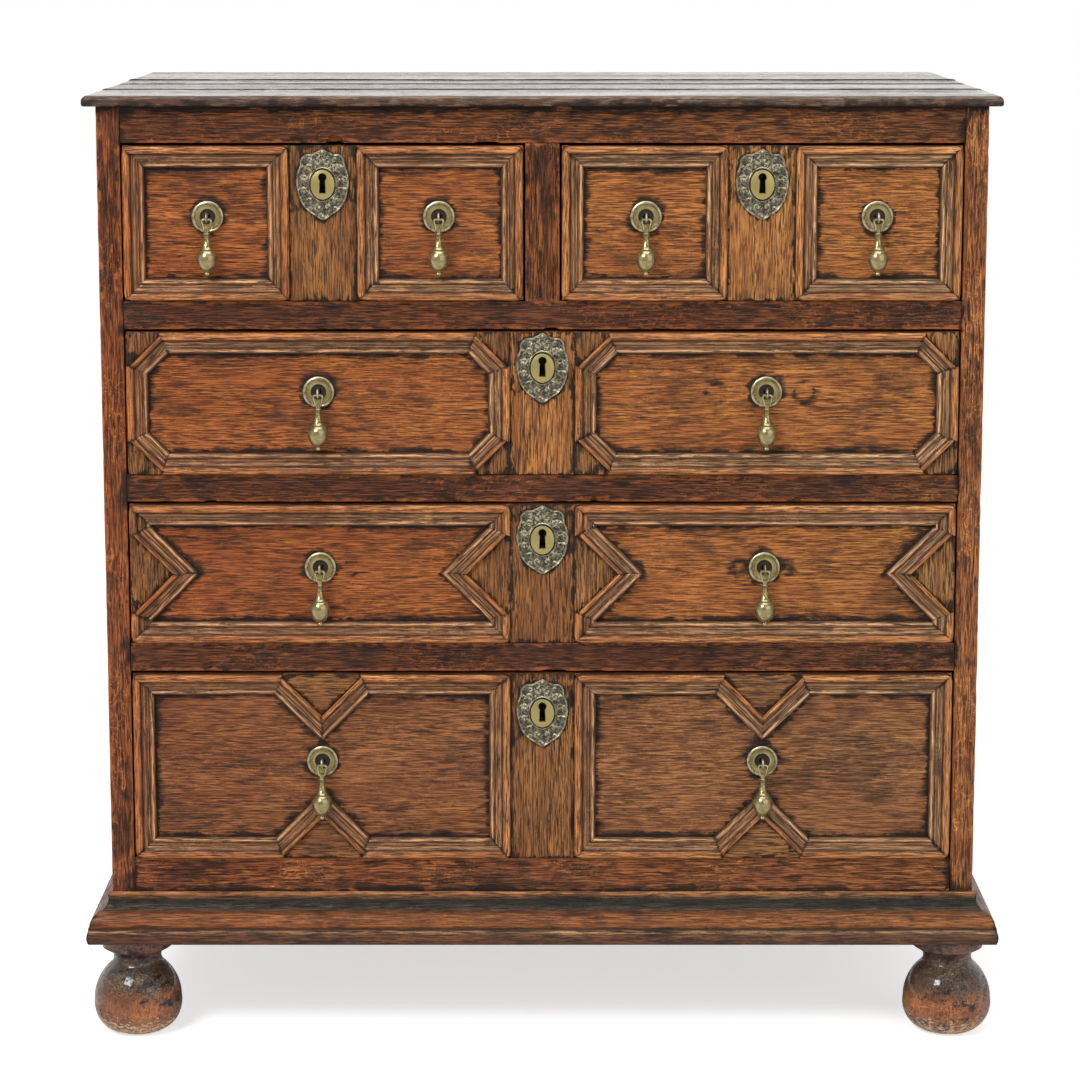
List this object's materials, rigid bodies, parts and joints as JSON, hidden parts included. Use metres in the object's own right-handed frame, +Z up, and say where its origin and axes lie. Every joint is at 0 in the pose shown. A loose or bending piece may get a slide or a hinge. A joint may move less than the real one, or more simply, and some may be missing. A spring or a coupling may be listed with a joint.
{
  "type": "chest of drawers",
  "caption": "Joined oak chest of drawers on ball feet: short drawers over long ones, geometric applied mouldings, brass escutcheons and drop handles, a moulded base and locks.",
  "frame": {"origin": "on the floor, under the middle of the bounding box of the whole piece with its drawers shut", "axes": "+Z up, -Y towards the front where the drawers open, +X to the right as seen from the front"},
  "size_m": [0.95, 0.582, 0.985],
  "materials": {
    "case_oak": "waxed dark oak",
    "top_oak": "worn pale oak",
    "drawer_oak": "waxed red-brown oak",
    "moulding_oak": "waxed oak, worn ridges",
    "inner_oak": "dry unfinished oak",
    "feet": "dark polished",
    "brass": "tarnished",
    "iron": "forged, oiled"
  },
  "bodies": {
    "case": {"top_boards": "top_oak", "left_front_post": "case_oak", "right_front_post": "case_oak", "front_bottom_rail": "case_oak", "front_top_rail": "case_oak", "drawer_rails": "case_oak", "centre_muntin": "case_oak", "left_side_frame": "case_oak", "left_side_panels": "case_oak", "right_side_frame": "case_oak", "right_side_panels": "case_oak", "frame_pegs": "case_oak", "back_boards": "inner_oak", "rear_frame": "inner_oak", "drawer_runners": "inner_oak", "base_moulding": "case_oak", "front_left_foot": "feet", "front_right_foot": "feet", "rear_left_foot": "feet", "rear_right_foot": "feet"},
    "top_left_drawer": {"top_left_drawer_front": "drawer_oak", "top_left_drawer_mouldings": "moulding_oak", "top_left_drawer_box": "inner_oak", "top_left_drawer_brasses": "brass", "top_left_drawer_lock": "iron"},
    "top_left_drawer_left_drop": {"top_left_drawer_left_drop": "brass"},
    "top_left_drawer_right_drop": {"top_left_drawer_right_drop": "brass"},
    "top_left_drawer_lock_bolt": {"top_left_drawer_lock_bolt": "iron"},
    "top_right_drawer": {"top_right_drawer_front": "drawer_oak", "top_right_drawer_mouldings": "moulding_oak", "top_right_drawer_box": "inner_oak", "top_right_drawer_brasses": "brass", "top_right_drawer_lock": "iron"},
    "top_right_drawer_left_drop": {"top_right_drawer_left_drop": "brass"},
    "top_right_drawer_right_drop": {"top_right_drawer_right_drop": "brass"},
    "top_right_drawer_lock_bolt": {"top_right_drawer_lock_bolt": "iron"},
    "second_drawer": {"second_drawer_front": "drawer_oak", "second_drawer_mouldings": "moulding_oak", "second_drawer_box": "inner_oak", "second_drawer_brasses": "brass", "second_drawer_lock": "iron"},
    "second_drawer_left_drop": {"second_drawer_left_drop": "brass"},
    "second_drawer_right_drop": {"second_drawer_right_drop": "brass"},
    "second_drawer_lock_bolt": {"second_drawer_lock_bolt": "iron"},
    "third_drawer": {"third_drawer_front": "drawer_oak", "third_drawer_mouldings": "moulding_oak", "third_drawer_box": "inner_oak", "third_drawer_brasses": "brass", "third_drawer_lock": "iron"},
    "third_drawer_left_drop": {"third_drawer_left_drop": "brass"},
    "third_drawer_right_drop": {"third_drawer_right_drop": "brass"},
    "third_drawer_lock_bolt": {"third_drawer_lock_bolt": "iron"},
    "bottom_drawer": {"bottom_drawer_front": "drawer_oak", "bottom_drawer_mouldings": "moulding_oak", "bottom_drawer_box": "inner_oak", "bottom_drawer_brasses": "brass", "bottom_drawer_lock": "iron"},
    "bottom_drawer_left_drop": {"bottom_drawer_left_drop": "brass"},
    "bottom_drawer_right_drop": {"bottom_drawer_right_drop": "brass"},
    "bottom_drawer_lock_bolt": {"bottom_drawer_lock_bolt": "iron"}
  },
  "joints": [
    {"name": "drawer_top_left", "type": "slide", "parent": "case", "child": "top_left_drawer", "axis": [0, -1, 0], "range_m": [0, 0.38]},
    {"name": "drawer_top_right", "type": "slide", "parent": "case", "child": "top_right_drawer", "axis": [0, -1, 0], "range_m": [0, 0.38]},
    {"name": "drawer_second", "type": "slide", "parent": "case", "child": "second_drawer", "axis": [0, -1, 0], "range_m": [0, 0.38]},
    {"name": "drawer_third", "type": "slide", "parent": "case", "child": "third_drawer", "axis": [0, -1, 0], "range_m": [0, 0.38]},
    {"name": "drawer_bottom", "type": "slide", "parent": "case", "child": "bottom_drawer", "axis": [0, -1, 0], "range_m": [0, 0.38]},
    {"name": "drop_top_left_left", "type": "hinge", "parent": "top_left_drawer", "child": "top_left_drawer_left_drop", "pos_m": [-0.33875, -0.2775, 0.861], "axis": [-1, 0, 0], "range_deg": [0, 95]},
    {"name": "drop_top_left_right", "type": "hinge", "parent": "top_left_drawer", "child": "top_left_drawer_right_drop", "pos_m": [-0.10475, -0.2775, 0.861], "axis": [-1, 0, 0], "range_deg": [0, 95]},
    {"name": "drop_top_right_left", "type": "hinge", "parent": "top_right_drawer", "child": "top_right_drawer_left_drop", "pos_m": [0.10475, -0.2775, 0.861], "axis": [-1, 0, 0], "range_deg": [0, 95]},
    {"name": "drop_top_right_right", "type": "hinge", "parent": "top_right_drawer", "child": "top_right_drawer_right_drop", "pos_m": [0.33875, -0.2775, 0.861], "axis": [-1, 0, 0], "range_deg": [0, 95]},
    {"name": "drop_second_left", "type": "hinge", "parent": "second_drawer", "child": "second_drawer_left_drop", "pos_m": [-0.2285, -0.2775, 0.682], "axis": [-1, 0, 0], "range_deg": [0, 95]},
    {"name": "drop_second_right", "type": "hinge", "parent": "second_drawer", "child": "second_drawer_right_drop", "pos_m": [0.2285, -0.2775, 0.682], "axis": [-1, 0, 0], "range_deg": [0, 95]},
    {"name": "drop_third_left", "type": "hinge", "parent": "third_drawer", "child": "third_drawer_left_drop", "pos_m": [-0.2285, -0.2775, 0.4995], "axis": [-1, 0, 0], "range_deg": [0, 95]},
    {"name": "drop_third_right", "type": "hinge", "parent": "third_drawer", "child": "third_drawer_right_drop", "pos_m": [0.2285, -0.2775, 0.4995], "axis": [-1, 0, 0], "range_deg": [0, 95]},
    {"name": "drop_bottom_left", "type": "hinge", "parent": "bottom_drawer", "child": "bottom_drawer_left_drop", "pos_m": [-0.2285, -0.2775, 0.2945], "axis": [-1, 0, 0], "range_deg": [0, 95]},
    {"name": "drop_bottom_right", "type": "hinge", "parent": "bottom_drawer", "child": "bottom_drawer_right_drop", "pos_m": [0.2285, -0.2775, 0.2945], "axis": [-1, 0, 0], "range_deg": [0, 95]},
    {"name": "lock_top_left", "type": "slide", "parent": "top_left_drawer", "child": "top_left_drawer_lock_bolt", "axis": [0, 0, 1], "range_m": [0, 0.009]},
    {"name": "lock_top_right", "type": "slide", "parent": "top_right_drawer", "child": "top_right_drawer_lock_bolt", "axis": [0, 0, 1], "range_m": [0, 0.009]},
    {"name": "lock_second", "type": "slide", "parent": "second_drawer", "child": "second_drawer_lock_bolt", "axis": [0, 0, 1], "range_m": [0, 0.009]},
    {"name": "lock_third", "type": "slide", "parent": "third_drawer", "child": "third_drawer_lock_bolt", "axis": [0, 0, 1], "range_m": [0, 0.009]},
    {"name": "lock_bottom", "type": "slide", "parent": "bottom_drawer", "child": "bottom_drawer_lock_bolt", "axis": [0, 0, 1], "range_m": [0, 0.009]}
  ]
}
